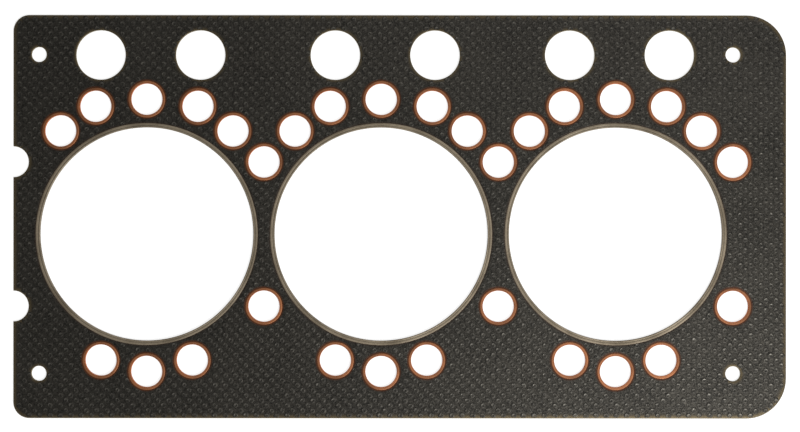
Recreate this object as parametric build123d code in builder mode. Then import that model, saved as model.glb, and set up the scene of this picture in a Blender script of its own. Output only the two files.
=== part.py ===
"""Cylinder head gasket for one three-cylinder head of an in-line six-cylinder diesel engine.

A tanged steel core lies between two soft facings. Folded steel fire rings line the cylinder bores,
and folded copper eyelets line the head stud holes and the coolant ports. The gasket lies flat, head
side up. The origin is on the middle bore's axis, in the plane of the fire rings' lower flanges, with
+X along the row of bores towards the long end, +Y towards the push-rod side and +Z towards the head.
All sizes are in millimetres.
"""

import os

from build123d import *

# Driving dimensions: the row of cylinders
cylinder_pitch = 117.0
cylinder_stations = {1: -cylinder_pitch, 2: 0.0, 3: cylinder_pitch}
fire_ring_bore_radius = 53.2
fire_ring_flange_radius = 55.5

# Driving dimensions: the outline, from the outer bores' axes and from the row's centre line
butt_end_reach = 66.6
long_end_reach = 85.2
push_rod_side_reach = 109.3
stud_side_reach = 92.0
butt_end_corner_radius = 8.0
long_end_corner_radius = 20.0

# Driving dimensions: the sheets, and the play between a folded piece and the sheets that it grips
core_thickness = 0.3
facing_thickness = 0.45
fire_ring_sheet = 0.2
eyelet_sheet = 0.15
fold_play = 0.04

# Driving dimensions: the round holes
eyelet_bore_radius = 7.8
eyelet_flange_radius = 9.2
push_rod_hole_radius = 12.35
dowel_hole_radius = 3.75
stud_notch_radius = 7.65

# Places of the holes, measured from each bore's axis
corner_stud_x = cylinder_pitch / 2
corner_stud_y = 36.0
upper_stud_x = 25.5
upper_stud_y = 63.75
lower_stud_y = -68.6
top_coolant_y = 67.3
side_coolant_x = 43.0
side_coolant_y = 51.45
lower_coolant_x = 22.8
lower_coolant_y = -62.95
push_rod_left_x = -22.9
push_rod_right_x = 26.85
push_rod_y = 89.35

# Places of the dowel holes, measured from the middle bore's axis
dowel_left_x = -170.75
dowel_right_x = 175.6
dowel_upper_y = 89.55
dowel_lower_y = -69.6

stud_places = {
    "corner_upper": (corner_stud_x, corner_stud_y),
    "corner_lower": (corner_stud_x, -corner_stud_y),
    "upper_left": (-upper_stud_x, upper_stud_y),
    "upper_right": (upper_stud_x, upper_stud_y),
    "lower": (0.0, lower_stud_y),
}
coolant_places = {
    "top": (0.0, top_coolant_y),
    "side_left": (-side_coolant_x, side_coolant_y),
    "side_right": (side_coolant_x, side_coolant_y),
    "lower_left": (-lower_coolant_x, lower_coolant_y),
    "lower_right": (lower_coolant_x, lower_coolant_y),
}
push_rod_places = [(push_rod_left_x, push_rod_y), (push_rod_right_x, push_rod_y)]
dowel_centres = [(x, y) for x in (dowel_left_x, dowel_right_x) for y in (dowel_lower_y, dowel_upper_y)]

# Worked out from the driving dimensions
body_thickness = core_thickness + 2 * facing_thickness
body_bottom = fire_ring_sheet
core_bottom = body_bottom + facing_thickness
head_facing_bottom = core_bottom + core_thickness
body_top = body_bottom + body_thickness
butt_end_x = cylinder_stations[1] - butt_end_reach
long_end_x = cylinder_stations[3] + long_end_reach
lined_bore_radius = fire_ring_bore_radius + fire_ring_sheet + fold_play
lined_eyelet_radius = eyelet_bore_radius + eyelet_sheet + fold_play
notch_centres = [(butt_end_x, -corner_stud_y), (butt_end_x, corner_stud_y)]
bore_centres = [(x, 0.0) for x in cylinder_stations.values()]


def at_every_bore(places):
    """The centres of a hole pattern that repeats at each cylinder."""
    return [(station + x, y) for station in cylinder_stations.values() for x, y in places]


eyelet_centres = at_every_bore([*stud_places.values(), *coolant_places.values()])
push_rod_centres = at_every_bore(push_rod_places)


def gasket_outline():
    """The blanked outline: small corners where two gaskets butt together, large ones at the long end."""
    with BuildSketch() as outline:
        with BuildLine():
            Polyline(
                (butt_end_x, -stud_side_reach),
                (long_end_x, -stud_side_reach),
                (long_end_x, push_rod_side_reach),
                (butt_end_x, push_rod_side_reach),
                close=True,
            )
        make_face()
        fillet(outline.vertices().group_by(Axis.X)[-1], long_end_corner_radius)
        fillet(outline.vertices().group_by(Axis.X)[0], butt_end_corner_radius)
    return outline.sketch


def stamped_sheet(label, bottom, thickness):
    """One layer of the sandwich, with every hole punched through it."""
    with BuildPart() as sheet:
        with BuildSketch(Plane.XY.offset(bottom)):
            add(gasket_outline())
            with Locations(*bore_centres):
                Circle(lined_bore_radius, mode=Mode.SUBTRACT)
            with Locations(*eyelet_centres):
                Circle(lined_eyelet_radius, mode=Mode.SUBTRACT)
            with Locations(*push_rod_centres):
                Circle(push_rod_hole_radius, mode=Mode.SUBTRACT)
            with Locations(*dowel_centres):
                Circle(dowel_hole_radius, mode=Mode.SUBTRACT)
            with Locations(*notch_centres):
                Circle(stud_notch_radius, mode=Mode.SUBTRACT)
        extrude(amount=thickness)
    sheet.part.label = label
    return sheet.part


def folded_ring(label, centre, bore_radius, flange_radius, sheet_thickness):
    """A strip folded into a U round a hole: a web lines the hole and two flanges grip the sandwich."""
    half_height = body_thickness / 2 + sheet_thickness
    with BuildPart() as ring:
        section = Plane(origin=(*centre, body_bottom + body_thickness / 2), x_dir=(1, 0, 0), z_dir=(0, -1, 0))
        with BuildSketch(section):
            with BuildLine():
                Polyline(
                    (bore_radius, -half_height),
                    (flange_radius, -half_height),
                    (flange_radius, -body_thickness / 2),
                    (bore_radius + sheet_thickness, -body_thickness / 2),
                    (bore_radius + sheet_thickness, body_thickness / 2),
                    (flange_radius, body_thickness / 2),
                    (flange_radius, half_height),
                    (bore_radius, half_height),
                    close=True,
                )
            make_face()
        revolve(axis=Axis((*centre, 0), (0, 0, 1)))
    ring.part.label = label
    return ring.part


def fire_ring(cylinder):
    """The steel ring that seals the flame in one cylinder."""
    centre = (cylinder_stations[cylinder], 0.0)
    return folded_ring(f"fire_ring_{cylinder}", centre, fire_ring_bore_radius, fire_ring_flange_radius, fire_ring_sheet)


def eyelet(label, centre):
    """A copper eyelet round a stud hole or a coolant port."""
    return folded_ring(label, centre, eyelet_bore_radius, eyelet_flange_radius, eyelet_sheet)


pieces = [
    stamped_sheet("block_side_facing", body_bottom, facing_thickness),
    stamped_sheet("core_plate", core_bottom, core_thickness),
    stamped_sheet("head_side_facing", head_facing_bottom, facing_thickness),
]
for cylinder, station in cylinder_stations.items():
    pieces.append(fire_ring(cylinder))
    for place, (x, y) in stud_places.items():
        pieces.append(eyelet(f"stud_eyelet_{cylinder}_{place}", (station + x, y)))
    for place, (x, y) in coolant_places.items():
        pieces.append(eyelet(f"coolant_eyelet_{cylinder}_{place}", (station + x, y)))

os.makedirs("parts", exist_ok=True)
for piece in pieces:
    export_step(piece, f"parts/{piece.label}.step")
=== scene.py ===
"""Looks of a three-cylinder head gasket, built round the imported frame.

Two soft facings lie on a tanged steel core. The core's tangs are clinched through the facings and
leave a lattice of small craters on both sides. Folded steel rings line the cylinder bores and
folded copper eyelets line the stud holes and the coolant ports. All sizes are in metres.
"""

from __future__ import annotations

import logging
import math
import random
from dataclasses import dataclass
from enum import Enum
from typing import Any, Iterable, Mapping, Sequence

import bmesh
import bpy
from bmesh.types import BMEdge, BMesh, BMVert
from bpy.types import Material, Mesh, Node, NodeSocket, NodeTree, Object
from mathutils import Matrix, Vector

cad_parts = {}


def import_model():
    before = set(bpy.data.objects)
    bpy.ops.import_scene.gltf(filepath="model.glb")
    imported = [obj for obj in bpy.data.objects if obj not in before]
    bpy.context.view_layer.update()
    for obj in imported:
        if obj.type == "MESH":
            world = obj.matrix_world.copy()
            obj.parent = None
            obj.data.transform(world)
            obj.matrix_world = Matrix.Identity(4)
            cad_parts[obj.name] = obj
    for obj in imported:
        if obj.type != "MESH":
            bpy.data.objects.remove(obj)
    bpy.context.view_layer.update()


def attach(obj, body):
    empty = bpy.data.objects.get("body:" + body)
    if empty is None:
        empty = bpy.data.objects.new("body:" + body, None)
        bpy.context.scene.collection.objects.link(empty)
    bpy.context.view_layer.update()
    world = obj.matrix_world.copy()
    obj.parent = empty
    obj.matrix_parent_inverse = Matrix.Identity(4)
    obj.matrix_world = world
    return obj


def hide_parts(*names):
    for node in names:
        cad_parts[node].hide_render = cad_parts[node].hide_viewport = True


LOG = logging.getLogger("head_gasket")
BODY = "root"
MM = 0.001
WHITE = (255, 255, 255)

Colour = tuple[int, int, int]
Pair = tuple[float, float]
Place = Pair


class Side(Enum):
    """The two faces of the gasket, each with the sign of its outward direction along Z."""

    HEAD = 1
    BLOCK = -1


class Edge(Enum):
    """How a hole in the sheets is finished."""

    FIRE_RING = "fire_ring"
    EYELET = "eyelet"
    BARE = "bare"


# How far beyond the cut the sheet lies flat, and how far beyond it the tang marks begin.
QUIET_MARGIN = {Edge.FIRE_RING: 2.9 * MM, Edge.EYELET: 2.25 * MM, Edge.BARE: 2.2 * MM}
CLEAR_MARGIN = {Edge.FIRE_RING: 2.4 * MM, Edge.EYELET: 1.9 * MM, Edge.BARE: 0.4 * MM}


@dataclass(frozen=True)
class Round:
    """A round border in the sheets.

    Args:
        x: place of its axis along the row of bores.
        y: place of its axis across it.
        radius: its radius, as cut.
    """

    x: float
    y: float
    radius: float

    def away(self, x: float, y: float) -> float:
        """How far a place is from the axis."""
        return math.hypot(x - self.x, y - self.y)


@dataclass(frozen=True)
class Hole(Round):
    """A round hole, with the way that it is finished."""

    edge: Edge

    @property
    def quiet_radius(self) -> float:
        """Radius outside which the sheet is flat and undisturbed."""
        return self.radius + QUIET_MARGIN[self.edge]

    @property
    def clear_radius(self) -> float:
        """Radius that the tang marks stay outside."""
        return self.radius + CLEAR_MARGIN[self.edge]


@dataclass(frozen=True)
class Corner(Round):
    """A rounded corner of the outline, with the signs of its outward directions."""

    toward_x: int
    toward_y: int

    def holds(self, x: float, y: float) -> bool:
        """Whether a place lies in the corner's quarter."""
        return (x - self.x) * self.toward_x > 0 and (y - self.y) * self.toward_y > 0


@dataclass(frozen=True)
class Layout:
    """Places and sizes that all layers share, as they are cut."""

    pitch: float = 117.0 * MM
    butt_end: float = -183.6 * MM
    long_end: float = 202.2 * MM
    stud_side: float = -92.0 * MM
    push_rod_side: float = 109.3 * MM
    butt_corner: float = 8.0 * MM
    long_corner: float = 20.0 * MM
    notch_radius: float = 7.65 * MM
    notch_reach: float = 36.0 * MM
    bore_radius: float = 53.2 * MM
    ring_flange: float = 55.5 * MM
    ring_cut: float = 53.44 * MM
    eyelet_radius: float = 7.8 * MM
    eyelet_flange: float = 9.2 * MM
    eyelet_cut: float = 7.99 * MM
    push_rod_radius: float = 12.35 * MM
    push_rod_x: Place = (-22.9 * MM, 26.85 * MM)
    push_rod_y: float = 89.35 * MM
    dowel_radius: float = 3.75 * MM
    dowel_x: Place = (-170.75 * MM, 175.6 * MM)
    dowel_y: Place = (-69.6 * MM, 89.55 * MM)
    mid_height: float = 0.8 * MM
    body_half: float = 0.6 * MM
    core_half: float = 0.15 * MM

    @property
    def stations(self) -> dict[int, float]:
        """Place of each bore's axis along X, by cylinder number."""
        return {1: -self.pitch, 2: 0.0, 3: self.pitch}

    @property
    def studs(self) -> dict[str, Place]:
        """Stud holes of one cylinder, from its bore's axis."""
        return {
            "corner_upper": (self.pitch / 2, self.notch_reach),
            "corner_lower": (self.pitch / 2, -self.notch_reach),
            "upper_left": (-25.5 * MM, 63.75 * MM),
            "upper_right": (25.5 * MM, 63.75 * MM),
            "lower": (0.0, -68.6 * MM),
        }

    @property
    def coolant(self) -> dict[str, Place]:
        """Coolant ports of one cylinder, from its bore's axis."""
        return {
            "top": (0.0, 67.3 * MM),
            "side_left": (-43.0 * MM, 51.45 * MM),
            "side_right": (43.0 * MM, 51.45 * MM),
            "lower_left": (-22.8 * MM, -62.95 * MM),
            "lower_right": (22.8 * MM, -62.95 * MM),
        }

    def eyelets(self) -> dict[str, Place]:
        """Centre of each eyelet, by the name of its node."""
        places = {}
        for number, station in self.stations.items():
            for kind, pattern in (("stud", self.studs), ("coolant", self.coolant)):
                for place, (x, y) in pattern.items():
                    places[f"{kind}_eyelet_{number}_{place}"] = (station + x, y)
        return places

    def holes(self) -> list[Hole]:
        """Every round hole in the sheets."""
        found = [Hole(x, 0.0, self.ring_cut, Edge.FIRE_RING) for x in self.stations.values()]
        found += [Hole(x, y, self.eyelet_cut, Edge.EYELET) for x, y in self.eyelets().values()]
        for station in self.stations.values():
            found += [Hole(station + x, self.push_rod_y, self.push_rod_radius, Edge.BARE) for x in self.push_rod_x]
        found += [Hole(x, y, self.dowel_radius, Edge.BARE) for x in self.dowel_x for y in self.dowel_y]
        return found

    def notches(self) -> list[Hole]:
        """The half holes in the butt end."""
        return [Hole(self.butt_end, y, self.notch_radius, Edge.BARE) for y in (-self.notch_reach, self.notch_reach)]

    def corners(self) -> list[Corner]:
        """The rounded corners."""
        found = []
        for end, radius, toward_x in ((self.long_end, self.long_corner, 1), (self.butt_end, self.butt_corner, -1)):
            for border, toward_y in ((self.push_rod_side, 1), (self.stud_side, -1)):
                x, y = end - toward_x * radius, border - toward_y * radius
                found.append(Corner(x, y, radius, toward_x, toward_y))
        return found


# --- shader building ---


def srgb(colour: Colour) -> tuple[float, float, float, float]:
    """Turns a display colour of 0 to 255 into the linear colour that sockets take."""

    def linear(value: int) -> float:
        """One channel's linear value."""
        part = value / 255
        return part / 12.92 if part <= 0.04045 else ((part + 0.055) / 1.055) ** 2.4

    return (*map(linear, colour), 1.0)


@dataclass(frozen=True)
class Pattern:
    """A cloudy pattern that is fixed to the object.

    Args:
        size: the size of a blot.
        detail: how many finer layers are added.
        roughness: how strong they are.
    """

    size: float
    detail: float = 2.0
    roughness: float = 0.5


class Signal:
    """A shader socket that takes Python arithmetic."""

    def __init__(self, graph: Graph, socket: NodeSocket) -> None:
        """Keeps the graph and the output socket."""
        self.graph = graph
        self.socket = socket

    def _math(self, operation: str, *values: Any, clamp: bool = False) -> Signal:
        """Adds a Math node with these inputs, in order."""
        settings = {"operation": operation, "use_clamp": clamp}
        return self.graph.add("ShaderNodeMath", settings, dict(enumerate(values)))["Value"]

    def __add__(self, other: Any) -> Signal:
        """self + other."""
        return self._math("ADD", self, other)

    __radd__ = __add__

    def __sub__(self, other: Any) -> Signal:
        """self - other."""
        return self._math("SUBTRACT", self, other)

    def __rsub__(self, other: Any) -> Signal:
        """other - self."""
        return self._math("SUBTRACT", other, self)

    def __mul__(self, other: Any) -> Signal:
        """self * other."""
        return self._math("MULTIPLY", self, other)

    __rmul__ = __mul__

    def clamped(self) -> Signal:
        """The value kept between 0 and 1."""
        return self._math("ADD", self, 0.0, clamp=True)

    def steep(self, low: float, high: float) -> Signal:
        """A smooth step from 0 at low to 1 at high."""
        sockets = {"Value": self, "From Min": low, "From Max": high}
        return self.graph.add("ShaderNodeMapRange", {"interpolation_type": "SMOOTHSTEP"}, sockets)["Result"]


class NodeOutputs:
    """The outputs of a node, by name, as signals."""

    def __init__(self, graph: Graph, node: Node) -> None:
        """Keeps the graph and the node."""
        self.graph = graph
        self.node = node

    def __getitem__(self, name: str | int) -> Signal:
        """The output of that name or place."""
        return Signal(self.graph, self.node.outputs[name])


class Graph:
    """Builds one node tree."""

    def __init__(self, tree: NodeTree) -> None:
        """Empties the tree."""
        self.tree = tree
        tree.nodes.clear()

    @classmethod
    def for_material(cls, name: str) -> tuple[Graph, Material]:
        """A new material with an empty tree.

        Args:
            name: the material's name.

        Returns:
            The graph and the material.
        """
        material = bpy.data.materials.new(name)
        material.use_nodes = True
        return cls(material.node_tree), material

    def add(
        self,
        kind: str,
        settings: Mapping[str, Any] | None = None,
        sockets: Mapping[str | int, Any] | None = None,
    ) -> NodeOutputs:
        """Adds a node of any type.

        Args:
            kind: the node's type.
            settings: its properties, set first.
            sockets: values or signals for its inputs.

        Returns:
            The node's outputs.
        """
        node = self.tree.nodes.new(kind)
        for key, value in (settings or {}).items():
            setattr(node, key, value)
        for key, value in (sockets or {}).items():
            if isinstance(value, Signal):
                self.tree.links.new(value.socket, node.inputs[key])
            else:
                node.inputs[key].default_value = value
        return NodeOutputs(self, node)

    def noise(self, pattern: Pattern) -> Signal:
        """Noise on the object's own coordinates, about 0 to 1."""
        sockets = {
            "Vector": self.add("ShaderNodeTexCoord")["Object"],
            "Scale": 1.0 / pattern.size,
            "Detail": pattern.detail,
            "Roughness": pattern.roughness,
        }
        return self.add("ShaderNodeTexNoise", {"noise_dimensions": "3D"}, sockets)["Fac"]

    def mix(self, factor: Signal | float, first: Any, second: Any) -> Signal:
        """Mixes two colours: a factor of 0 gives the first and 1 the second."""
        settings = {"data_type": "RGBA", "blend_type": "MIX", "clamp_factor": True}
        return self.add("ShaderNodeMix", settings, {0: factor, 6: first, 7: second})[2]

    def trait(self, name: str) -> Signal:
        """The value of a mesh attribute."""
        return self.add("ShaderNodeAttribute", {"attribute_name": name})["Fac"]

    def bump(self, height: Signal, strength: float, distance: float) -> Signal:
        """The normal bent by a relief, whose distance is the depth of a height of 1."""
        sockets = {"Height": height, "Strength": strength, "Distance": distance}
        return self.add("ShaderNodeBump", {}, sockets)["Normal"]

    def surface(self, sockets: Mapping[str | int, Any]) -> None:
        """Ends the tree in a Principled shader with these inputs."""
        shader = self.add("ShaderNodeBsdfPrincipled", {}, sockets)["BSDF"]
        self.add("ShaderNodeOutputMaterial", {}, {"Surface": shader})


@dataclass(frozen=True)
class GraphiteCoat:
    """The coat of both facings: dark binder with brighter graphite flakes rubbed into the fibre."""

    binder: Colour = (10, 10, 9)
    flake: Colour = (76, 73, 67)
    grain: Pattern = Pattern(0.55 * MM, 2.0, 0.7)
    fibre: Pattern = Pattern(1.5 * MM, 3.0, 0.6)
    cloud: Pattern = Pattern(28 * MM)

    def lay(self, graph: Graph) -> CoatSignals:
        """Adds the coat's patterns to a graph.

        Args:
            graph: the material's graph.

        Returns:
            The coat's signals.
        """
        grain, fibre, cloud = graph.noise(self.grain), graph.noise(self.fibre), graph.noise(self.cloud)
        flakes = (0.7 * grain + 0.25 * fibre + 0.12 * cloud - 0.035).steep(0.26, 0.8)
        colour = graph.mix(flakes, srgb(self.binder), srgb(self.flake))
        return CoatSignals(colour, flakes, grain, fibre)


@dataclass(frozen=True)
class CoatSignals:
    """What a graphite coat gives to a finish.

    Args:
        colour: the coat's colour.
        flakes: where graphite shows, 0 to 1.
        grain: the finest pattern.
        fibre: the coarser one.
    """

    colour: Signal
    flakes: Signal
    grain: Signal
    fibre: Signal

    def metallic(self) -> Signal:
        """How metallic the coat is: more so where graphite shows."""
        return 0.4 + 0.6 * self.flakes

    def relief(self) -> Signal:
        """The coat's relief."""
        return 0.7 * self.grain + 0.3 * self.fibre


@dataclass(frozen=True)
class FacingFinish:
    """Graphite-coated fibre facing: charcoal, grainy, olive where it is cut, and darkened round the rings with grime
    and painted shade.
    """

    name: str = "facing_graphite"
    coat: GraphiteCoat = GraphiteCoat()
    edge: Colour = (86, 75, 54)
    cut: Colour = (150, 138, 110)
    # Dark brown round the rings: partly grime, partly painted shade in the pressed groove.
    grime_and_shade: Colour = (66, 34, 14)
    specular: float = 0.12
    relief: float = 0.7
    relief_depth: float = 0.14 * MM

    def build(self) -> Material:
        """Makes the material."""
        graph, material = Graph.for_material(self.name)
        coat = self.coat.lay(graph)
        bare = graph.trait("bare_edge") * (0.55 + 0.5 * coat.fibre)
        # The pressed groove round each ring is darkened with grime and painted shade.
        pressed = graph.trait("pressed") * 0.9
        cut = (graph.trait("cut") * (0.5 + 0.7 * coat.grain)).clamped()
        colour = graph.mix(bare, coat.colour, srgb(self.edge))
        colour = graph.mix(pressed, colour, srgb(self.grime_and_shade))
        colour = graph.mix(cut, colour, srgb(self.cut))
        covered = (1.0 - 0.25 * bare) * (1.0 - pressed) * (1.0 - cut)
        graph.surface(
            {
                "Base Color": colour,
                "Metallic": covered * coat.metallic(),
                "Roughness": 0.36 + 0.2 * coat.fibre,
                "Specular IOR Level": self.specular,
                "Normal": graph.bump(coat.relief(), self.relief, self.relief_depth),
            }
        )
        return material


@dataclass(frozen=True)
class TangMarkFinish:
    """The facing where a clinched tang lifts it: the same coat, with the tang's steel bare inside the rim, weighted
    to each mark's upper side as a painted highlight, and painted shade in the bowl.
    """

    name: str = "facing_tang_mark"
    coat: GraphiteCoat = GraphiteCoat()
    # The tang's bare steel; on each mark's upper side it also stands for a painted highlight.
    tang: Colour = (98, 95, 88)
    # Painted shade in the bowl.
    bowl: Colour = (8, 8, 7)
    wear: Pattern = Pattern(2.2 * MM, 2.0, 0.6)
    specular: float = 0.2
    relief: float = 0.5
    relief_depth: float = 0.12 * MM

    def build(self) -> Material:
        """Makes the material."""
        graph, material = Graph.for_material(self.name)
        coat = self.coat.lay(graph)
        wear = graph.noise(self.wear) * coat.grain
        # Bare tang, weighted to the mark's upper side as a painted highlight.
        bare = (graph.trait("bare_tang_and_highlight") * (0.25 + 1.7 * wear)).steep(0.15, 0.8)
        shade = graph.trait("bowl") * 0.4
        colour = graph.mix(bare, graph.mix(shade, coat.colour, srgb(self.bowl)), srgb(self.tang))
        graph.surface(
            {
                "Base Color": colour,
                "Metallic": coat.metallic() * (1.0 - 0.35 * bare),
                "Roughness": 0.5 - 0.15 * bare,
                "Specular IOR Level": self.specular,
                "Normal": graph.bump(coat.relief(), self.relief, self.relief_depth),
            }
        )
        return material


@dataclass(frozen=True)
class MetalFinish:
    """A scuffed and stained metal, with painted shade in a crease and a paler lip at a fold where its mesh marks
    them.

    Args:
        name: the material's name.
        clean: its colour.
        stained: its colour where it is stained.
        scuffs: the fine pattern, which also gives the relief.
        stains: the broad pattern.
        shares: how much of the scuffs and of the stains makes the metal look stained.
        span: the sums between which that look sets in.
        metallic: how metallic it is.
        roughness: its least roughness, and what wear adds to it.
        dulled_by_scuffs: whether the scuffs add it, and not the stains.
        relief: how much of the relief shows.
        crease_shade: its colour in the crease, which is painted shade, where it has one.
        crease_shade_share: how much of that painted shade shows at least.
        pale_lip: its paler colour on the lip of the fold at the hole, where it has one.
    """

    name: str
    clean: Colour
    stained: Colour
    scuffs: Pattern
    stains: Pattern
    shares: Pair
    span: Pair
    metallic: float
    roughness: Pair
    dulled_by_scuffs: bool = False
    relief: float = 0.25
    relief_depth: float = 0.03 * MM
    crease_shade: Colour | None = None
    crease_shade_share: float = 0.0
    pale_lip: Colour | None = None
    pale_lip_share: float = 0.85

    def build(self) -> Material:
        """Makes the material."""
        graph, material = Graph.for_material(self.name)
        scuffs, stains = graph.noise(self.scuffs), graph.noise(self.stains)
        stained = (self.shares[0] * scuffs + self.shares[1] * stains).steep(*self.span)
        colour = graph.mix(stained, srgb(self.clean), srgb(self.stained))
        if self.crease_shade:
            # Painted shade along the crease.
            share = graph.trait("crease_shade") * (self.crease_shade_share + 0.5 * scuffs)
            colour = graph.mix(share, colour, srgb(self.crease_shade))
        if self.pale_lip:
            colour = graph.mix(graph.trait("pale_lip") * self.pale_lip_share, colour, srgb(self.pale_lip))
        least, added = self.roughness
        graph.surface(
            {
                "Base Color": colour,
                "Metallic": self.metallic,
                "Roughness": least + added * (scuffs if self.dulled_by_scuffs else stains),
                "Normal": graph.bump(scuffs, self.relief, self.relief_depth),
            }
        )
        return material


# Cold-rolled steel, seen only where the core is cut.
CORE_STEEL = MetalFinish(
    name="core_cold_rolled_steel",
    clean=(150, 146, 136),
    stained=(92, 84, 70),
    scuffs=Pattern(0.5 * MM, 3.0, 0.6),
    stains=Pattern(9 * MM),
    shares=(0.6, 0.5),
    span=(0.35, 0.75),
    metallic=0.85,
    roughness=(0.38, 0.25),
    dulled_by_scuffs=True,
    relief=0.3,
)

# Tinned steel of the fire rings, dulled to a greyish olive, with painted shade in the crease by the bead.
RING_STEEL = MetalFinish(
    name="fire_ring_tinned_steel",
    clean=(136, 124, 105),
    stained=(102, 91, 74),
    scuffs=Pattern(0.6 * MM, 3.0, 0.6),
    stains=Pattern(14 * MM, 3.0, 0.55),
    shares=(0.35, 0.65),
    span=(0.35, 0.68),
    metallic=0.55,
    roughness=(0.48, 0.2),
    crease_shade=(62, 56, 42),
    crease_shade_share=0.6,
)

# Soft copper of the eyelets, browned, with painted shade in its crease and a paler lip at the hole.
EYELET_COPPER = MetalFinish(
    name="eyelet_copper",
    clean=(153, 97, 61),
    stained=(116, 74, 46),
    scuffs=Pattern(0.5 * MM, 3.0, 0.6),
    stains=Pattern(11 * MM, 2.0, 0.55),
    shares=(0.35, 0.65),
    span=(0.36, 0.66),
    metallic=0.6,
    roughness=(0.5, 0.2),
    crease_shade=(108, 62, 38),
    crease_shade_share=0.55,
    pale_lip=(176, 95, 39),
)


@dataclass(frozen=True)
class FloorFinish:
    """White paper under the gasket: it takes the shadow and shows as white."""

    name: str = "floor_paper"
    dim: Colour = (246, 246, 245)
    pale: Colour = (250, 250, 250)
    fibre: Pattern = Pattern(3 * MM)
    glow_share: float = 0.6
    glow_strength: float = 1.3

    def build(self) -> Material:
        """Makes the material."""
        graph, material = Graph.for_material(self.name)
        colour = graph.mix(graph.noise(self.fibre), srgb(self.dim), srgb(self.pale))
        paper = graph.add("ShaderNodeBsdfDiffuse", {}, {"Color": colour})["BSDF"]
        glow = graph.add("ShaderNodeEmission", {}, {"Color": srgb(WHITE), "Strength": self.glow_strength})
        factor = seen_directly(graph) * self.glow_share
        mixed = graph.add("ShaderNodeMixShader", {}, {0: factor, 1: paper, 2: glow["Emission"]})["Shader"]
        graph.add("ShaderNodeOutputMaterial", {}, {"Surface": mixed})
        return material


def seen_directly(graph: Graph) -> Signal:
    """1 for what the camera, a reflection or a clear material shows, and 0 for light that bounces."""
    path = graph.add("ShaderNodeLightPath")
    return (path["Is Camera Ray"] + path["Is Glossy Ray"] + path["Is Transmission Ray"]).clamped()


# --- meshes ---


def extrude_run(mesh: BMesh, edges: Sequence[BMEdge]) -> list[BMVert]:
    """Extrudes a run of edges and gives its new vertices."""
    made = bmesh.ops.extrude_edge_only(mesh, edges=edges)["geom"]
    return [item for item in made if isinstance(item, BMVert)]


def edges_between(vertices: Sequence[BMVert]) -> list[BMEdge]:
    """The edges with both ends among these vertices, each of them once."""
    chosen = set(vertices)
    return list(dict.fromkeys(e for v in vertices for e in v.link_edges if chosen.issuperset(e.verts)))


def round_off(mesh: BMesh, vertices: list[BMVert], radius: float, segments: int) -> None:
    """Rounds corners of a flat face.

    Args:
        mesh: the mesh that holds the face.
        vertices: the corners.
        radius: how far from each corner the rounding starts.
        segments: how many edges it has.
    """
    bmesh.ops.bevel(
        mesh,
        geom=vertices,
        offset=radius,
        offset_type="OFFSET",
        segments=segments,
        profile=0.5,
        affect="VERTICES",
        clamp_overlap=False,
        material=-1,
    )


@dataclass(frozen=True)
class RimStep:
    """One step of a rim, from the flat of a sheet towards its cut edge.

    Args:
        out: how far the step goes towards the cut edge.
        rise: how far it goes up, or down where negative.
        pressed: how far the facing is pressed there and darkened with grime and painted shade, 0 to 1.
        bare_edge: how far the olive edge shows there, 0 to 1.
        cut: how far the cut fibre shows there, 0 to 1.
    """

    out: float
    rise: float
    pressed: float = 0.0
    bare_edge: float = 0.0
    cut: float = 0.0


RIM_TRAITS = ("pressed", "bare_edge", "cut")


class Rail:
    """A closed run of edges at the border of a face, which sweeps out a rim step by step."""

    def __init__(self, mesh: BMesh, edges: Sequence[BMEdge]) -> None:
        """Works out each vertex's mitred direction, away from the faces and in the sheet's plane.

        Args:
            mesh: the mesh that holds the edges.
            edges: the closed run.
        """
        self.mesh = mesh
        self.edges = list(edges)
        normals: dict[BMVert, list[Vector]] = {}
        for edge in self.edges:
            loop = edge.link_loops[0]
            along = (loop.link_loop_next.vert.co - loop.vert.co).normalized()
            outward = along.cross(loop.face.normal).normalized()
            for vertex in edge.verts:
                normals.setdefault(vertex, []).append(outward)
        self.mitres = {v: (a + b) / (1 + a.dot(b)) for v, (a, b) in normals.items()}

    def shift(self, out: float, rise: float = 0.0) -> None:
        """Moves the run itself outwards and up."""
        for vertex, mitre in self.mitres.items():
            vertex.co += mitre * out + Vector((0, 0, rise))

    def step(self, step: RimStep) -> None:
        """Extrudes the run and carries the rim's traits onto its new vertices.

        Args:
            step: how far it goes, and the traits there.
        """
        fresh = extrude_run(self.mesh, self.edges)
        old = self.mitres
        self.mitres = {v: next(old[e.other_vert(v)] for e in v.link_edges if e.other_vert(v) in old) for v in fresh}
        self.edges = edges_between(fresh)
        self.shift(step.out, step.rise)
        for trait in RIM_TRAITS:
            layer = self.mesh.verts.layers.float[trait]
            for vertex in fresh:
                vertex[layer] = getattr(step, trait)


def finish_mesh(mesh: BMesh, name: str, material: Material, smooth_angle: float) -> Object:
    """Turns a bmesh into an object at the origin, and reports it.

    Args:
        mesh: the mesh, which is freed.
        name: the object's name.
        material: its material.
        smooth_angle: edges sharper than this stay sharp, in degrees.

    Returns:
        The object, in the scene.
    """
    for face in mesh.faces:
        face.smooth = True
    for edge in mesh.edges:
        edge.smooth = len(edge.link_faces) != 2 or edge.calc_face_angle(0.0) < math.radians(smooth_angle)
    data = bpy.data.meshes.new(name)
    mesh.to_mesh(data)
    mesh.free()
    data.materials.append(material)
    made = bpy.data.objects.new(name, data)
    bpy.context.scene.collection.objects.link(made)
    LOG.info("%s: %d faces", name, len(data.polygons))
    return made


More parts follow.
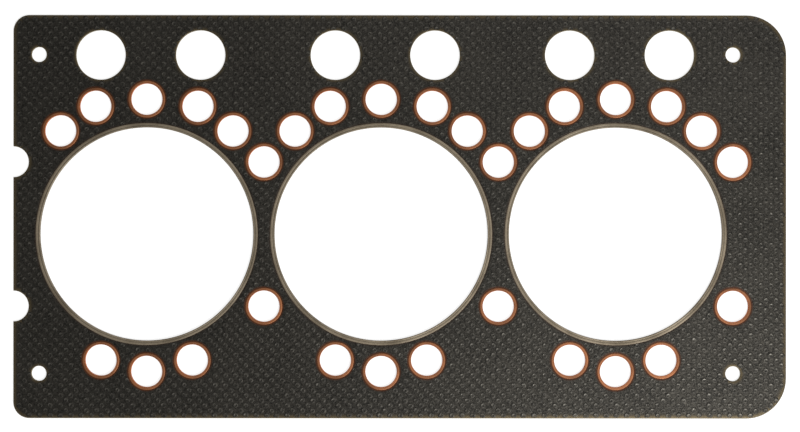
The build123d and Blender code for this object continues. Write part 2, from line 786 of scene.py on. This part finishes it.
@dataclass
class StampedSheet:
    """One layer of the sandwich, stamped out with every hole.

    Args:
        name: the piece's name.
        node: the frame's node that it stands for.
        layout: the shared places and sizes.
        outer: height of its outer face above the gasket's mid-plane.
        inner: height of its inner face above it.
        side: which way the outer face looks.
    """

    name: str
    node: str
    layout: Layout
    outer: float
    inner: float
    side: Side = Side.HEAD
    outline_zone: float = 3.0 * MM
    outline_droop: float = 0.1 * MM
    outline_roll: float = 0.5 * MM
    hole_droop: float = 0.04 * MM
    hole_roll: float = 0.2 * MM
    press_depth: float = 0.06 * MM
    corner_segments: int = 14
    bore_segments: int = 160
    hole_segments: int = 64
    dowel_segments: int = 40
    weld: float = 0.002 * MM
    smooth_angle: float = 50

    def outline(self, mesh: BMesh) -> Rail:
        """Makes the outline with its corners and notches rounded, drawn in to where the sheet is flat.

        Args:
            mesh: the mesh that it goes into.

        Returns:
            The outline's rail.
        """
        plan = self.layout
        left, right, low, high = plan.butt_end, plan.long_end, plan.stud_side, plan.push_rod_side
        corners = [(right, low), (right, high), (left, high)]
        for reach in (plan.notch_reach, -plan.notch_reach):
            top, bottom, back = reach + plan.notch_radius, reach - plan.notch_radius, left + plan.notch_radius
            corners += [(left, top), (back, top), (back, bottom), (left, bottom)]
        corners.append((left, low))
        vertices = [mesh.verts.new((x, y, self.outer)) for x, y in corners]
        mesh.faces.new(vertices)
        round_off(mesh, vertices[0:2], plan.long_corner, self.corner_segments)
        round_off(mesh, [vertices[2], vertices[11]], plan.butt_corner, self.corner_segments)
        round_off(mesh, vertices[4:6] + vertices[8:10], plan.notch_radius, self.corner_segments)
        bmesh.ops.remove_doubles(mesh, verts=mesh.verts, dist=self.weld)
        mesh.normal_update()
        rail = Rail(mesh, mesh.edges)
        bmesh.ops.delete(mesh, geom=list(mesh.faces), context="FACES_ONLY")
        self.ease_mouths(rail)
        rail.shift(-self.outline_zone)
        return rail

    def ease_mouths(self, rail: Rail) -> None:
        """Keeps the drawn-in rail from folding over itself where a notch meets the butt end.

        Args:
            rail: the outline's rail, at the cut edge.
        """
        zone = self.outline_zone
        on_cut, beside, lean = 0.05 * MM, zone + 0.1 * MM, 0.02
        for notch in self.layout.notches():
            for vertex, mitre in rail.mitres.items():
                x, y = vertex.co.x - notch.x, vertex.co.y - notch.y
                if abs(math.hypot(x, y) - notch.radius) < on_cut and x - mitre.x * zone < beside:
                    inner_x = zone + lean * x
                    inner_y = math.copysign(math.sqrt((notch.radius + zone) ** 2 - inner_x**2), y)
                    rail.mitres[vertex] = Vector((x - inner_x, y - inner_y, 0)) / zone

    def bare_steps(self, zone: float, droop: float, roll: float) -> list[RimStep]:
        """Steps of a bare cut edge: a tinted border that droops, a roll-over and the cut wall.

        Args:
            zone: width of the border and the roll-over.
            droop: how far the border sinks towards the edge.
            roll: width of the roll-over.

        Returns:
            The steps.
        """
        border, drop = zone - roll, 0.6 * roll
        wall = self.outer - self.inner - droop - drop
        return [
            RimStep(0.45 * border, -0.1 * droop, bare_edge=0.2),
            RimStep(0.35 * border, -0.4 * droop, bare_edge=0.8),
            RimStep(0.2 * border, -0.5 * droop, bare_edge=1.0),
            RimStep(0.6 * roll, -0.4 * drop, bare_edge=1.0, cut=0.15),
            RimStep(0.4 * roll, -0.6 * drop, bare_edge=1.0, cut=1.0),
            RimStep(0.0, -wall, bare_edge=1.0, cut=1.0),
        ]

    def lined_steps(self, hole: Hole, flange: float) -> list[RimStep]:
        """Steps under a folded ring: the pressed groove round its flange, and on to the hole.

        Args:
            hole: the hole.
            flange: radius of the flange over it.

        Returns:
            The steps.
        """
        groove = hole.quiet_radius - flange
        # How far the groove is darkened with grime and painted shade: fully round an eyelet, faintly round a fire
        # ring.
        darkening = 1.0 if hole.edge is Edge.EYELET else 0.2
        wall = self.outer - self.inner - self.press_depth
        return [
            RimStep(0.35 * groove, -0.15 * self.press_depth, pressed=0.5 * darkening),
            RimStep(0.35 * groove, -0.6 * self.press_depth, pressed=darkening),
            RimStep(0.3 * groove, -0.25 * self.press_depth, pressed=darkening),
            RimStep(flange - hole.radius, 0.0, pressed=darkening),
            RimStep(0.0, -wall, pressed=darkening),
        ]

    def steps(self, hole: Hole) -> list[RimStep]:
        """Steps of one hole's rim."""
        if hole.edge is Edge.FIRE_RING:
            return self.lined_steps(hole, self.layout.ring_flange)
        if hole.edge is Edge.EYELET:
            return self.lined_steps(hole, self.layout.eyelet_flange)
        return self.bare_steps(hole.quiet_radius - hole.radius, self.hole_droop, self.hole_roll)

    def segments(self, hole: Hole) -> int:
        """How many sides a hole is drawn with."""
        if hole.edge is Edge.FIRE_RING:
            return self.bore_segments
        return self.hole_segments if hole.radius > self.layout.dowel_radius else self.dowel_segments

    def build(self, material: Material) -> Object:
        """Builds the sheet and puts it in the place of its node.

        Args:
            material: the sheet's material.

        Returns:
            The piece.
        """
        mesh = bmesh.new()
        for trait in RIM_TRAITS:
            mesh.verts.layers.float.new(trait)
        outline = self.outline(mesh)
        circles = []
        for hole in self.layout.holes():
            at = Matrix.Translation((hole.x, hole.y, self.outer))
            ring = bmesh.ops.create_circle(mesh, segments=self.segments(hole), radius=hole.quiet_radius, matrix=at)
            circles.append((hole, edges_between(ring["verts"])))
        bmesh.ops.triangle_fill(mesh, edges=list(mesh.edges), use_beauty=True, normal=(0, 0, 1))
        mesh.normal_update()
        rails = [outline]
        for step in self.bare_steps(self.outline_zone, self.outline_droop, self.outline_roll):
            outline.step(step)
        for hole, edges in circles:
            rail = Rail(mesh, edges)
            for step in self.steps(hole):
                rail.step(step)
            rails.append(rail)
        last = [edge for rail in rails for edge in rail.edges]
        bmesh.ops.triangle_fill(mesh, edges=last, use_beauty=True, normal=(0, 0, -1))
        if self.side is Side.BLOCK:
            bmesh.ops.scale(mesh, vec=(1, 1, -1), verts=mesh.verts)
        bmesh.ops.translate(mesh, vec=(0, 0, self.layout.mid_height), verts=mesh.verts)
        bmesh.ops.recalc_face_normals(mesh, faces=mesh.faces)
        piece = finish_mesh(mesh, self.name, material, self.smooth_angle)
        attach(piece, BODY)
        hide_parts(self.node)
        return piece


@dataclass
class FoldedRing:
    """A strip of soft metal folded into a U round a hole, gripping the sandwich.

    Args:
        name: the piece's name.
        node: the frame's node that it stands for.
        slot: the record's material slot; not used.
        centre: place of the hole's axis.
        half_section: radius beyond the bore and height of each corner above the mid-plane, from the
            fold at the bore to the foot of the web.
        bore: radius of the lined hole.
        fold: size of the fold's rounding.
        turns: how many steps it is spun in.
        crease_shade: radii beyond the bore between which the metal is creased and darkened with painted shade.
    """

    name: str
    node: str
    slot: str
    centre: Place
    half_section: tuple[Pair, ...]
    bore: float
    fold: float
    turns: int
    crease_shade: Pair
    mid_height: float = Layout.mid_height
    fold_segments: int = 4
    pale_lip_share: float = 0.9
    weld: float = 0.0005 * MM
    smooth_angle: float = 40

    def build(self, material: Material) -> Object:
        """Spins the folded section round the hole.

        Args:
            material: the ring's material.

        Returns:
            The piece.
        """
        mesh = bmesh.new()
        darkening = mesh.verts.layers.float.new("crease_shade")
        pale_lip = mesh.verts.layers.float.new("pale_lip")
        upper = [(self.bore + out, height) for out, height in self.half_section]
        lower = [(radius, -height) for radius, height in reversed(upper)]
        vertices = [mesh.verts.new((radius, 0, height)) for radius, height in upper + lower]
        mesh.faces.new(vertices)
        round_off(mesh, [vertices[0], vertices[-1]], self.fold, self.fold_segments)
        bmesh.ops.delete(mesh, geom=list(mesh.faces), context="FACES_ONLY")
        bmesh.ops.spin(
            mesh,
            geom=list(mesh.verts) + list(mesh.edges),
            cent=(0, 0, 0),
            axis=(0, 0, 1),
            angle=math.tau,
            steps=self.turns,
            use_merge=True,
        )
        bmesh.ops.remove_doubles(mesh, verts=mesh.verts, dist=self.weld)
        # Vertices in the crease take its painted shade.
        low, high = self.crease_shade
        for vertex in mesh.verts:
            out = math.hypot(vertex.co.x, vertex.co.y) - self.bore
            vertex[darkening] = 1.0 if low <= out <= high else 0.0
            # The lip within the fold's rounding at the bore takes the paler colour.
            vertex[pale_lip] = 1.0 if out < self.pale_lip_share * self.fold else 0.0
        bmesh.ops.recalc_face_normals(mesh, faces=mesh.faces)
        bmesh.ops.translate(mesh, vec=(*self.centre, self.mid_height), verts=mesh.verts)
        piece = finish_mesh(mesh, self.name, material, self.smooth_angle)
        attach(piece, BODY)
        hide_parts(self.node)
        return piece


def in_mm(*pairs: Pair) -> tuple[Pair, ...]:
    """Pairs of millimetres, in metres."""
    return tuple((first * MM, second * MM) for first, second in pairs)


@dataclass
class Linings:
    """The fire rings and the eyelets."""

    layout: Layout
    ring_turns: int = 160
    eyelet_turns: int = 56

    def fire_ring(self, number: int) -> FoldedRing:
        """The ring of one cylinder: a raised bead at the bore, a crease and an outer flange."""
        bead = ((0.0, 0.8), (0.78, 0.8), (0.86, 0.74), (0.98, 0.74))
        flange = ((1.06, 0.78), (1.94, 0.78), (2.14, 0.73), (2.22, 0.6), (0.2, 0.6))
        return FoldedRing(
            name=f"fire_ring_{number}_folded",
            node=f"fire_ring_{number}",
            slot="ring_steel",
            centre=(self.layout.stations[number], 0.0),
            half_section=in_mm(*bead, *flange),
            bore=self.layout.bore_radius,
            fold=0.3 * MM,
            turns=self.ring_turns,
            crease_shade=(0.85 * MM, 0.99 * MM),
        )

    def eyelet(self, node: str, centre: Place) -> FoldedRing:
        """An eyelet: a rounded fold at the hole and a flange turned down at its rim."""
        bead = ((0.0, 0.75), (0.4, 0.75), (0.47, 0.705), (0.56, 0.72))
        flange = ((1.12, 0.73), (1.32, 0.68), (1.4, 0.6), (1.25, 0.6), (0.15, 0.6))
        return FoldedRing(
            name=f"{node}_folded",
            node=node,
            slot="eyelet_copper",
            centre=centre,
            half_section=in_mm(*bead, *flange),
            bore=self.layout.eyelet_radius,
            fold=0.22 * MM,
            turns=self.eyelet_turns,
            crease_shade=(0.4 * MM, 0.55 * MM),
        )

    def build(self) -> None:
        """Builds every ring and eyelet."""
        steel, copper = RING_STEEL.build(), EYELET_COPPER.build()
        for number in self.layout.stations:
            self.fire_ring(number).build(steel)
        for node, centre in self.layout.eyelets().items():
            self.eyelet(node, centre).build(copper)


def draw_back(place: Vector, centre: Round, reach: float) -> None:
    """Moves a place along the line that joins it to a centre.

    Args:
        place: the place, which is changed.
        centre: the round border whose axis is the centre.
        reach: how far from that axis it ends.
    """
    away = centre.away(place.x, place.y)
    place.x = centre.x + (place.x - centre.x) * reach / away
    place.y = centre.y + (place.y - centre.y) * reach / away


@dataclass(frozen=True)
class MarkRing:
    """One ring of a tang mark's section.

    Args:
        radius: its radius.
        height: its height above the facing.
        bare_tang_and_highlight: how worn the coat is there, baring the tang, 0 to 1; the template weights it to the
            mark's upper side as a painted highlight.
        bowl: how far it lies in the bowl's painted shade, 0 to 1.
    """

    radius: float
    height: float
    bare_tang_and_highlight: float
    bowl: float


# Heights and radii of a tang mark, from its foot under the facing's face to the rim of its bowl.
MARK_FOOT = MarkRing(1.75 * MM, -0.06 * MM, 0.0, 0.0)
MARK_RINGS = (
    MarkRing(1.04 * MM, 0.1 * MM, 0.2, 0.0),
    MarkRing(0.88 * MM, 0.15 * MM, 1.0, 0.0),
    MarkRing(0.52 * MM, 0.0, 0.8, 0.3),
)


@dataclass
class TangMarks:
    """The craters that the core's clinched tangs leave all over one facing.

    Args:
        layout: the shared places and sizes.
        side: the face that they are on.
        pitch: distance from mark to mark along a row.
        row_gap: distance from row to row; every other row is set half a pitch along.
        origin: place of one mark.
        inset: how far inside an edge a mark's middle stays.
        mouth_margin: how far it stays from the mouth of a notch.
        mark_reach: how far from its middle a hole may cut a mark.
        border_reach: how far from it the outline may.
        border_trim: how far inside the outline a mark ends.
        border_sink: how far it sinks there, with the facing.
        fade_width: how far inside an edge it has its full height.
        edge_share: the share of its height at the edge.
    """

    layout: Layout
    side: Side
    origin: Place
    pitch: float = 5.14 * MM
    row_gap: float = 2.505 * MM
    inset: float = 0.7 * MM
    mouth_margin: float = 2.2 * MM
    mark_reach: float = 1.8 * MM
    border_reach: float = 4.0 * MM
    border_trim: float = 0.5 * MM
    border_sink: float = 0.1 * MM
    sink_width: float = 2.0 * MM
    fade_width: float = 0.8 * MM
    edge_share: float = 0.25
    lattice_half: int = 80
    unevenness: float = 0.1
    drift: float = 0.12 * MM
    tilt: float = 0.03
    # Marks turn only a little, so the painted highlight stays on their upper side.
    turn: float = 0.5
    smooth_angle: float = 70
    sides: int = 12
    shapes: int = 6
    seed: int = 7

    def __post_init__(self) -> None:
        """Sets up the draws, and the borders that cut the marks."""
        self.chance = random.Random(self.seed + self.side.value)
        self.notches = self.layout.notches()
        self.corners = self.layout.corners()

    def template(self) -> Mesh:
        """Makes one mark at the origin: a low torn rim round a bowl, closed underneath.

        Returns:
            The mark's mesh, with "bare_tang_and_highlight" on its rim, heavier on its upper side, and "bowl" inside
            it.
        """
        mesh = bmesh.new()
        bare_tang_and_highlight = mesh.verts.layers.float.new("bare_tang_and_highlight")
        bowl = mesh.verts.layers.float.new("bowl")
        base = bmesh.ops.create_circle(mesh, cap_ends=True, segments=self.sides, radius=MARK_FOOT.radius)["verts"]
        bmesh.ops.translate(mesh, vec=(0, 0, MARK_FOOT.height), verts=base)
        edges, reached = list(mesh.edges), MARK_FOOT.radius
        for ring in MARK_RINGS:
            fresh = extrude_run(mesh, edges)
            for vertex in fresh:
                vertex.co *= ring.radius / reached * (1 + self.unevenness * self.chance.uniform(-1, 1))
                torn = 0.65 + 0.35 * self.chance.random()
                # Painted highlight: the bare tang is weighted to the mark's upper side.
                upper_side_highlight = 0.5 + 0.5 * vertex.co.y / vertex.co.to_2d().length
                vertex.co.z = ring.height * torn
                vertex[bare_tang_and_highlight], vertex[bowl] = ring.bare_tang_and_highlight * torn * (0.35 + 0.65 * upper_side_highlight), ring.bowl
            edges, reached = edges_between(fresh), ring.radius
        bmesh.ops.contextual_create(mesh, geom=edges)
        bmesh.ops.recalc_face_normals(mesh, faces=mesh.faces)
        data = bpy.data.meshes.new("tang_mark")
        mesh.to_mesh(data)
        mesh.free()
        return data

    def rows(self) -> Iterable[list[Place]]:
        """The places of the lattice that fall on the facing, row by row."""
        plan, counts = self.layout, range(-self.lattice_half, self.lattice_half + 1)
        for row in counts:
            y = self.origin[1] + row * self.row_gap
            if plan.stud_side < y < plan.push_rod_side:
                line = (self.origin[0] + (column + 0.5 * (row % 2)) * self.pitch for column in counts)
                yield [(x, y) for x in line if plan.butt_end < x < plan.long_end]

    def is_kept(self, x: float, y: float, holes: Iterable[Hole]) -> bool:
        """Whether a mark at this place still shows.

        Args:
            x: the place along X.
            y: the place along Y.
            holes: the holes near it.

        Returns:
            True where its middle lies on the facing.
        """
        plan, inset = self.layout, self.inset
        if min(self.borders(x, y)) <= inset:
            return False
        if any(c.holds(x, y) and c.away(x, y) > c.radius - inset for c in self.corners):
            return False
        margin = self.mouth_margin
        if x < plan.butt_end + margin and any(h.away(x, y) < h.radius + margin for h in self.notches):
            return False
        return all(h.away(x, y) > h.clear_radius + 0.5 * inset for h in holes)

    def borders(self, x: float, y: float) -> list[float]:
        """How far a place lies inside each straight side of the outline."""
        plan = self.layout
        return [x - plan.butt_end, plan.long_end - x, y - plan.stud_side, plan.push_rod_side - y]

    def near_border(self, x: float, y: float) -> bool:
        """Whether a mark at this place may reach the outline."""
        return min(self.borders(x, y)) < self.border_reach or any(c.holds(x, y) for c in self.corners)

    def trim(self, vertices: Iterable[BMVert], holes: Sequence[Hole]) -> None:
        """Draws a mark's vertices back to the edges that cut it.

        Args:
            vertices: the mark's vertices.
            holes: the holes that it may reach into.
        """
        plan, inset = self.layout, self.border_trim
        for vertex in vertices:
            place = vertex.co
            place.x = min(max(place.x, plan.butt_end + inset), plan.long_end - inset)
            place.y = min(max(place.y, plan.stud_side + inset), plan.push_rod_side - inset)
            for corner in self.corners:
                reach = corner.radius - inset
                if corner.holds(place.x, place.y) and corner.away(place.x, place.y) > reach:
                    draw_back(place, corner, reach)
            for hole in holes:
                if hole.away(place.x, place.y) < hole.clear_radius:
                    draw_back(place, hole, hole.clear_radius)

    def settle(self, vertices: Iterable[BMVert], holes: Sequence[Hole]) -> None:
        """Lowers a mark with the facing where it thins out towards an edge.

        Args:
            vertices: the mark's vertices.
            holes: the holes that it may reach into.
        """
        plan, outward = self.layout, self.side.value
        level = plan.mid_height + outward * plan.body_half
        for vertex in vertices:
            x, y, z = vertex.co
            border = self.borders(x, y)
            border += [c.radius - c.away(x, y) for c in self.corners if c.holds(x, y)]
            border += [h.away(x, y) - h.radius for h in self.notches]
            margin = max(min(border) - self.border_trim, 0.0)
            hole_margin = min((h.away(x, y) - h.clear_radius for h in holes), default=self.pitch)
            rise = (z - level) * outward
            if rise > 0:
                rise *= min(self.edge_share + min(margin, hole_margin) / self.fade_width, 1.0)
            sink = self.border_sink * max(1 - margin / self.sink_width, 0.0) ** 2
            vertex.co.z = level + outward * (rise - sink)

    def build(self, material: Material) -> None:
        """Stamps the marks, in one piece for each cylinder.

        Args:
            material: the marks' material.
        """
        templates = [self.template() for _ in range(self.shapes)]
        holes = self.layout.holes() + self.notches
        stations = self.layout.stations
        bands: dict[int, BMesh] = {number: bmesh.new() for number in stations}
        for row in self.rows():
            for number, mesh in bands.items():
                strip = bmesh.new()
                for x, y in row:
                    if number == min(stations, key=lambda other: abs(stations[other] - x)):
                        self.stamp(strip, templates, (x, y), holes)
                whole = bpy.data.meshes.new("strip")
                strip.to_mesh(whole)
                strip.free()
                mesh.from_mesh(whole)
                bpy.data.meshes.remove(whole)
        for number, mesh in bands.items():
            bmesh.ops.recalc_face_normals(mesh, faces=mesh.faces)
            name = f"tang_marks_{self.side.name.lower()}_{number}"
            piece = finish_mesh(mesh, name, material, self.smooth_angle)
            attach(piece, BODY)
        for template in templates:
            bpy.data.meshes.remove(template)

    def stamp(self, mesh: BMesh, templates: Sequence[Mesh], place: Place, holes: Sequence[Hole]) -> None:
        """Stamps one mark, unless it falls in a hole.

        Args:
            mesh: the mesh that it goes into.
            templates: the shapes to draw from.
            place: where it goes.
            holes: every hole in the facing.
        """
        x, y = place
        near = [h for h in holes if h.away(x, y) < h.clear_radius + self.mark_reach]
        wander = [self.chance.uniform(-1, 1) for _ in range(8)]
        template = self.chance.choice(templates)
        if not self.is_kept(x, y, near):
            return
        start = len(mesh.verts)
        mesh.from_mesh(template)
        mesh.verts.ensure_lookup_table()
        fresh = mesh.verts[start:]
        uneven, outward = self.unevenness, self.side.value
        turn = Matrix.Rotation(self.turn * wander[0], 4, "Z")
        tilt = Matrix.Rotation(self.tilt * wander[6], 4, "X") @ Matrix.Rotation(self.tilt * wander[7], 4, "Y")
        up = outward * (1 - uneven + uneven * wander[3])
        shape = Matrix.Diagonal((1 + uneven * wander[1], 1 + uneven * wander[2], up, 1))
        height = self.layout.mid_height + outward * self.layout.body_half
        at = Matrix.Translation((x + self.drift * wander[4], y + self.drift * wander[5], height))
        bmesh.ops.transform(mesh, matrix=at @ tilt @ turn @ shape, verts=fresh)
        if near or self.near_border(x, y):
            self.trim(fresh, near)
            self.settle(fresh, near)


@dataclass
class Sandwich:
    """The steel core between its two facings, with the marks that the tangs leave."""

    layout: Layout
    lattice: Place = (-0.7 * MM, -0.25 * MM)

    def build(self) -> None:
        """Builds the three sheets and the tang marks of both sides."""
        plan = self.layout
        facing, marks = FacingFinish().build(), TangMarkFinish().build()
        core = StampedSheet(
            "core_sheet",
            "core_plate",
            plan,
            plan.core_half,
            -plan.core_half,
            outline_droop=0.0,
            outline_roll=0.05 * MM,
            hole_droop=0.0,
            hole_roll=0.05 * MM,
            press_depth=0.0,
        )
        core.build(CORE_STEEL.build())
        for side in Side:
            name = side.name.lower()
            sheet = StampedSheet(f"{name}_facing", f"{name}_side_facing", plan, plan.body_half, plan.core_half, side)
            sheet.build(facing)
            shift = 0.0 if side is Side.HEAD else 0.25 * TangMarks.pitch
            TangMarks(plan, side, (self.lattice[0] + shift, self.lattice[1] + shift)).build(marks)


@dataclass(frozen=True)
class Lamp:
    """A soft square lamp that looks at the gasket.

    Args:
        name: its name.
        place: where it hangs.
        size: side of its square.
        power: its power in watts.
    """

    name: str
    place: tuple[float, float, float]
    size: float
    power: float

    def hang(self) -> None:
        """Hangs the lamp."""
        data = bpy.data.lights.new(self.name, "AREA")
        data.size, data.energy = self.size, self.power
        lamp = bpy.data.objects.new(self.name, data)
        lamp.location = self.place
        lamp.rotation_euler = (-Vector(self.place)).to_track_quat("-Z", "Y").to_euler()
        bpy.context.scene.collection.objects.link(lamp)


LAMPS = (
    Lamp("lamp_top", (0.36, 0.56, 0.86), 0.7, 3.1),
    Lamp("lamp_below", (0.4, -1.0, 0.65), 0.3, 5.6),
    Lamp("lamp_low_right", (0.5, -0.54, 0.9), 0.4, 10.3),
)


@dataclass
class Studio:
    """White floor, soft lamps, even surroundings and the camera."""

    view_centre: Place = (9.41 * MM, 9.06 * MM)
    view_width: float = 399.17 * MM
    view_distance: float = 0.6
    view_roll: float = 0.00074
    gasket_top: float = 1.4 * MM
    surround_strength: float = 0.19
    floor_half: float = 3.0

    def floor(self) -> None:
        """Lays the floor."""
        mesh = bmesh.new()
        bmesh.ops.create_grid(mesh, x_segments=2, y_segments=2, size=self.floor_half)
        paper = finish_mesh(mesh, "floor", FloorFinish().build(), 30)

    def surroundings(self) -> None:
        """Makes even pale surroundings."""
        world = bpy.data.worlds.new("white_room")
        world.use_nodes = True
        bpy.context.scene.world = world
        graph = Graph(world.node_tree)
        sockets = {"Color": srgb(WHITE), "Strength": self.surround_strength}
        background = graph.add("ShaderNodeBackground", {}, sockets)
        graph.add("ShaderNodeOutputWorld", {}, {"Surface": background["Background"]})

    def camera(self) -> None:
        """Sets the camera straight above the gasket."""
        data = bpy.data.cameras.new("camera")
        data.lens = data.sensor_width * self.view_distance / self.view_width
        camera = bpy.data.objects.new("camera", data)
        camera.location = (*self.view_centre, self.gasket_top + self.view_distance)
        camera.rotation_euler = (0, 0, self.view_roll)
        bpy.context.scene.collection.objects.link(camera)
        bpy.context.scene.camera = camera

    def build(self) -> None:
        """Builds the whole studio."""
        self.floor()
        self.surroundings()
        for lamp in LAMPS:
            lamp.hang()
        self.camera()
        bpy.context.scene.view_settings.view_transform = "Standard"


def main() -> None:
    """Builds the gasket's looks round the frame, then the studio."""
    logging.basicConfig(level=logging.INFO, format="%(name)s: %(message)s")
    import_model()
    layout = Layout()
    Sandwich(layout).build()
    Linings(layout).build()
    Studio().build()


if __name__ == "__main__":
    main()
